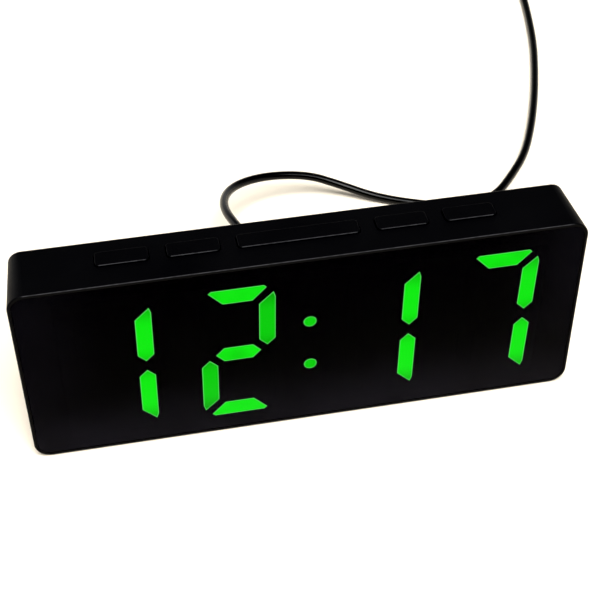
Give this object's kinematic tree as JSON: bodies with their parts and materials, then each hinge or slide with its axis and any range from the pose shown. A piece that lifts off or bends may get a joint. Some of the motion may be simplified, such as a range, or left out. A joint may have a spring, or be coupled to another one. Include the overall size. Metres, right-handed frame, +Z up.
{
  "type": "digital led desk clock",
  "caption": "Slim wide desk clock with large green LED digits behind a dark window, push keys in the top, a battery door in the back and a USB lead.",
  "frame": {"origin": "under the middle of the case, on the surface it stands on", "axes": "+X to the right seen from the front, +Y to the back, +Z up; the digits face -Y"},
  "size_m": [0.2322, 0.2972, 0.0637],
  "materials": {
    "case_plastic": "fine-grained satin black ABS",
    "window_film": "smoked acrylic, glossy",
    "carrier_plastic": "matte black ABS",
    "reflector_plastic": "matte black, light-tight",
    "lit_segment": "translucent diffuser, lit green",
    "unlit_segment": "translucent smoked diffuser, unlit",
    "circuit_board": "green solder mask",
    "led_chip": "yellowish resin",
    "chip_resin": "moulded epoxy",
    "can_metal": "plain nickel",
    "capacitor_sleeve": "shrink sleeve, dark blue",
    "connector_nylon": "natural nylon",
    "switch_plastic": "matte black",
    "stem_plastic": "smooth black acetal",
    "ribbon_jacket": "grey ribbon cable",
    "cell_jacket": "printed sleeve, plain",
    "contact_nickel": "nickel plated",
    "wire_red": "PVC",
    "wire_black": "PVC",
    "screw_steel": "zinc plated",
    "foot_rubber": "matte black rubber",
    "cord_jacket": "smooth semi-gloss black PVC",
    "plug_jacket": "satin black PVC",
    "plug_steel": "bright nickel",
    "plug_tongue": "white LCP",
    "contact_gold": "gold plated"
  },
  "bodies": {
    "clock": {"rear_shell": "case_plastic", "front_film": "window_film", "display_carrier": "carrier_plastic", "display_reflector": "reflector_plastic", "colon_dots": "lit_segment", "led_board": "circuit_board", "led_chips": "led_chip", "controller_chip": "chip_resin", "quartz_crystal": "can_metal", "smoothing_capacitor": "capacitor_sleeve", "buzzer": "chip_resin", "power_connector": "connector_nylon", "key_board": "circuit_board", "switch_bodies": "switch_plastic", "key_ribbon": "ribbon_jacket", "cell_top": "cell_jacket", "cell_middle": "cell_jacket", "cell_bottom": "cell_jacket", "contact_springs": "contact_nickel", "contact_plates_left": "contact_nickel", "contact_plates_right": "contact_nickel", "battery_wire_red": "wire_red", "battery_wire_black": "wire_black", "power_wire_red": "wire_red", "power_wire_black": "wire_black", "housing_screws": "screw_steel", "board_screws": "screw_steel", "key_board_screws": "screw_steel", "foot_pads": "foot_rubber", "cord_grip": "cord_jacket", "power_cord": "cord_jacket", "cord_coil": "cord_jacket", "coil_tie": "plug_jacket", "usb_overmould": "plug_jacket", "usb_shell": "plug_steel", "usb_tongue": "plug_tongue", "usb_contacts": "contact_gold", "hour_tens_lit": "lit_segment", "hour_tens_unlit": "unlit_segment", "hour_units_lit": "lit_segment", "hour_units_unlit": "unlit_segment", "minute_tens_lit": "lit_segment", "minute_tens_unlit": "unlit_segment", "minute_units_lit": "lit_segment", "minute_units_unlit": "unlit_segment"},
    "far_left_key": {"key_far_left": "case_plastic", "stem_far_left": "stem_plastic"},
    "left_key": {"key_left": "case_plastic", "stem_left": "stem_plastic"},
    "centre_key": {"key_centre": "case_plastic", "stem_centre": "stem_plastic"},
    "right_key": {"key_right": "case_plastic", "stem_right": "stem_plastic"},
    "far_right_key": {"key_far_right": "case_plastic", "stem_far_right": "stem_plastic"},
    "door": {"battery_door": "case_plastic"}
  },
  "joints": [
    {"name": "far_left_key_press", "type": "slide", "parent": "clock", "child": "far_left_key", "axis": [0, 0, -1], "range_m": [0, 0.0005], "stiffness_N_per_m": 800},
    {"name": "left_key_press", "type": "slide", "parent": "clock", "child": "left_key", "axis": [0, 0, -1], "range_m": [0, 0.0005], "stiffness_N_per_m": 800},
    {"name": "centre_key_press", "type": "slide", "parent": "clock", "child": "centre_key", "axis": [0, 0, -1], "range_m": [0, 0.0005], "stiffness_N_per_m": 800},
    {"name": "right_key_press", "type": "slide", "parent": "clock", "child": "right_key", "axis": [0, 0, -1], "range_m": [0, 0.0005], "stiffness_N_per_m": 800},
    {"name": "far_right_key_press", "type": "slide", "parent": "clock", "child": "far_right_key", "axis": [0, 0, -1], "range_m": [0, 0.0005], "stiffness_N_per_m": 800},
    {"name": "battery_door_hinge", "type": "hinge", "parent": "clock", "child": "door", "pos_m": [-0.0465, 0.0105, 0.013], "axis": [-1, 0, 0], "range_deg": [0, 35]}
  ]
}
